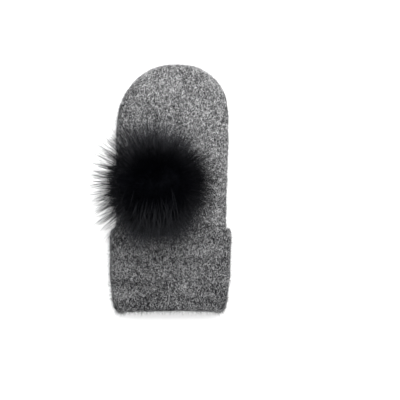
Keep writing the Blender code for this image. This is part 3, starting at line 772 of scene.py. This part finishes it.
def painted_sheen_of(way, rng, spread, even):
    """How pale a hair's tip is painted as sheen: none where it faces up, most at the rim and palest
    towards the cuff.
    """
    rim = 1 - way[:, 2] ** 2
    x, y = way[:, 0], way[:, 1]
    low = 0.295 - 0.06 * x - 0.12 * y + 0.18 * (y**2 - x**2)
    return np.clip(rim**4 * low * rng.gamma(even, 2 * spread / even, len(way)), 0, 1)


def beyond_body(way, scale, rng):
    """Tips beyond the dense fur: most a little, a few far, and less where they point up."""
    beyond = np.minimum(rng.exponential(scale, len(way)) * (1 + 0.35 * way[:, 1]), 0.6)
    return np.minimum(body_share(way) - 0.03 + beyond * (1 - 0.55 * np.maximum(way[:, 2], 0)), LONGEST)


def turned(toward, start, span):
    """From 0 to 1 as directions turn down an axis."""
    return ease((-toward - start) / span)



def hair_strands(name, paths, widths, tip_sheen, rng):
    """Black hairs that each face their own way."""
    facing = rng.normal(0, 1, (len(paths), 3))
    strands(name, paths, widths, tip_sheen, facing, black)


# The second colour is the charcoal of the painted sheen at the hairs' tips.
black = fur_finish("black_fur", (0.0009, 0.0010, 0.0016, 1), (0.085, 0.087, 0.096, 1), 0.008)

rng = np.random.default_rng(21)
bpy.ops.mesh.primitive_ico_sphere_add(subdivisions=5, radius=1)
heart = bpy.context.object
heart.name = heart.data.name = "fur_heart"
outward = unit(np.array([vert.co for vert in heart.data.vertices]))
for vert, way, share in zip(heart.data.vertices, outward, body_share(outward) - HEART_DEPTH):
    share += HEART_ROUGH * noise.noise(Vector(way) * 9) + HEART_FINE * noise.noise(Vector(way) * 23)
    at = FUR_MIDDLE + way * FUR_HALF * share
    at[2] = max(at[2], float(back_height(at[0], at[1])) + 0.0006)
    vert.co = at
heart.data.materials.append(black)
heart.data.shade_smooth()
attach(heart, "root")
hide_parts("pompom")

way = ball_directions(UNDERFUR, rng, -0.45)
tip_share = body_share(way) + rng.normal(0, 0.03, UNDERFUR)
paths = fur_paths(UNDER_HAIR, way, tip_share, rng.normal(0, 0.06, (UNDERFUR, 3)))
widths = rng.uniform(UNDER_HAIR.thinnest, UNDER_HAIR.thickest, UNDERFUR)
hair_strands("underfur", paths, widths, painted_sheen_of(way, rng, 0.15, 0.6), rng)

locks = ball_directions(LOCKS, rng, -0.4)
lock_sheen = painted_sheen_of(locks, rng, 0.5, 1.0)
member = rng.integers(0, LOCKS, GUARD_HAIRS)
way = unit(locks[member] + rng.normal(0, 0.022, (GUARD_HAIRS, 3)))
sideways = (locks[member] - way) * 0.4 + rng.normal(0, 0.05, (LOCKS, 3))[member]
beyond = 0.12 - 0.055 * turned(locks[:, 0], 0.35, 0.4)
tip_share = beyond_body(locks, beyond, rng)[member] + rng.normal(0, 0.03, GUARD_HAIRS)
paths = fur_paths(GUARD_HAIR, way, np.minimum(tip_share, LONGEST), sideways)
widths = rng.uniform(GUARD_HAIR.thinnest, GUARD_HAIR.thickest, GUARD_HAIRS)
tip_sheen = np.minimum(lock_sheen[member] * rng.gamma(1.6, 0.62, GUARD_HAIRS), 1)
hair_strands("guard_hairs", paths, widths, tip_sheen, rng)

locks = unit(ball_directions(FRINGE_LOCKS, rng, -0.3) * (1, 1, 0.6))
member = rng.integers(0, FRINGE_LOCKS, FRINGE)
leftward = turned(locks[:, 0], 0.35, 0.4)
loose = (1 - 0.25 * leftward[member])[:, None]
way = unit(locks[member] + rng.normal(0, 0.075, (FRINGE, 3)) * loose)
sideways = (locks[member] - way) * (1 - 0.6 * loose) + rng.normal(0, 0.05, (FRINGE_LOCKS, 3))[member]
reach = beyond_body(locks, 0.20 - 0.155 * leftward, rng)
tip_share = reach[member] + rng.normal(0.02, 0.03 + 0.04 * loose[:, 0], FRINGE)
# Fringe hairs that point towards the fingertips, the side the light comes from, get more painted sheen.
tip_sheen = np.minimum(painted_sheen_of(way, rng, 0.6, 0.4) * (1 + 1.6 * np.maximum(way[:, 1], 0)), 1)
paths = fur_paths(FRINGE_HAIR, way, np.minimum(tip_share, LONGEST), sideways)
widths = rng.uniform(FRINGE_HAIR.thinnest, FRINGE_HAIR.thickest, FRINGE)
hair_strands("fur_fringe", paths, widths, tip_sheen, rng)

fan, rest = rng.normal(math.pi - 0.1, 0.72, FANNED), rng.uniform(0, 2 * math.pi, WISPS - FANNED)
turn = np.concatenate([fan, rest])
wisps = unit(np.stack([np.cos(turn), np.sin(turn), rng.normal(0.05, 0.22, WISPS)], axis=-1))
member = np.repeat(np.arange(WISPS), WISP_HAIRS)
leftward = turned(wisps[:, 0], 0.2, 0.45)
cuffward = turned(wisps[:, 1], 0.2, 0.5) * (1 - leftward)
reach = 0.96 + rng.exponential(0.04, WISPS)
reach = reach + (0.50 * leftward + 0.1 * cuffward) * rng.uniform(0, 1, WISPS)
way = unit(wisps[member] + rng.normal(0, 0.012, (len(member), 3)))
tip_share = np.minimum(reach[member] - rng.exponential(0.03, len(member)), WISP_LONGEST)
sideways = (wisps[member] - way) * 0.7 + rng.normal(0, 0.10, (WISPS, 3))[member]
paths = fur_paths(WISP_HAIR, way, tip_share, sideways)
beyond = np.maximum(-WISP_LIMIT - paths[..., 0], 0)
paths[..., 0] += beyond - WISP_EASE * np.tanh(beyond / WISP_EASE)
widths = rng.uniform(WISP_HAIR.thinnest, WISP_HAIR.thickest, len(member))
# Wisps that point towards the cuff get more painted sheen.
tip_sheen = np.minimum(painted_sheen_of(way, rng, 0.25, 0.6) + 0.25 * cuffward[member], 1)
hair_strands("fur_wisps", paths, widths, tip_sheen, rng)

# Single paler hairs that lie along the ball and run towards the cuff: their paleness is painted highlight
# along glossy hairs.
turn = rng.normal(-0.5 * math.pi, 0.55, COMBED)
level = rng.uniform(0.0, 0.97, COMBED)
start = unit(np.stack([np.cos(turn), np.sin(turn), level / np.sqrt(1 - level**2)], axis=-1))
t = np.linspace(0, 1, 8)[None, :, None]
outward = unit(start * (0.5, 1, 0) + (0, -0.4, 0)) + rng.normal(0, 0.18, (COMBED, 3))
bow = np.cross(start, outward)[:, None] * rng.normal(0, 0.05, (COMBED, 1, 1))
arc = unit(start[:, None] + outward[:, None] * t * rng.uniform(0.3, 0.9, (COMBED, 1, 1)) + bow * t**2)
share = body_share(start)[:, None, None] + 0.10 + 0.05 * t
paths = FUR_MIDDLE + arc * share * FUR_HALF
paths[..., 2] = np.maximum(paths[..., 2], back_height(paths[..., 0], paths[..., 1]) + COMBED_CLEAR)
widths = rng.uniform(0.00014, 0.00026, COMBED)
strands("fur_combed", paths, widths, rng.uniform(0.06, 0.40, COMBED), start, black)

# The setting: a plain white floor, a large soft light from beyond the fingertips and even white
# surroundings.

bpy.ops.mesh.primitive_plane_add(size=6)
floor = bpy.context.object
floor.name = "floor"
white = Finish(
    "floor_white", Base_Color=(0.93, 0.93, 0.93, 1), Roughness=0.9, Specular_IOR_Level=0.1,
    Emission_Color=(1, 1, 1, 1), Emission_Strength=0.08,
)
floor.data.materials.append(white.material)

lamp = bpy.data.lights.new("soft_light", "AREA")
lamp.shape = "DISK"
lamp.size = 1.4
lamp.energy = 30
light = bpy.data.objects.new("soft_light", lamp)
light.location = (0.2, 0.85, 1.1)
to_mitten = Vector((0, 0.06, 0)) - light.location
light.rotation_euler = to_mitten.to_track_quat("-Z", "Y").to_euler()
bpy.context.scene.collection.objects.link(light)

world = bpy.data.worlds.new("white_surroundings")
world.use_nodes = True
world.node_tree.nodes["Background"].inputs["Color"].default_value = (1, 1, 1, 1)
world.node_tree.nodes["Background"].inputs["Strength"].default_value = 1.2
bpy.context.scene.world = world
bpy.context.scene.view_settings.view_transform = "Standard"

# The camera: it looks straight down, as the photograph does, with the mitten left of the frame's
# middle.

FRAME_WIDTH, FRAME_LEVEL = 0.387, 0.015  # across the picture, and the height where it is so wide
AIM = (0.0271, 0.0684)
CAMERA_HEIGHT = 1.6
lens = bpy.data.cameras.new("camera")
lens.sensor_width = 36
lens.lens = lens.sensor_width * (CAMERA_HEIGHT - FRAME_LEVEL) / FRAME_WIDTH
camera = bpy.data.objects.new("camera", lens)
camera.location = (*AIM, CAMERA_HEIGHT)
bpy.context.scene.collection.objects.link(camera)
bpy.context.scene.camera = camera
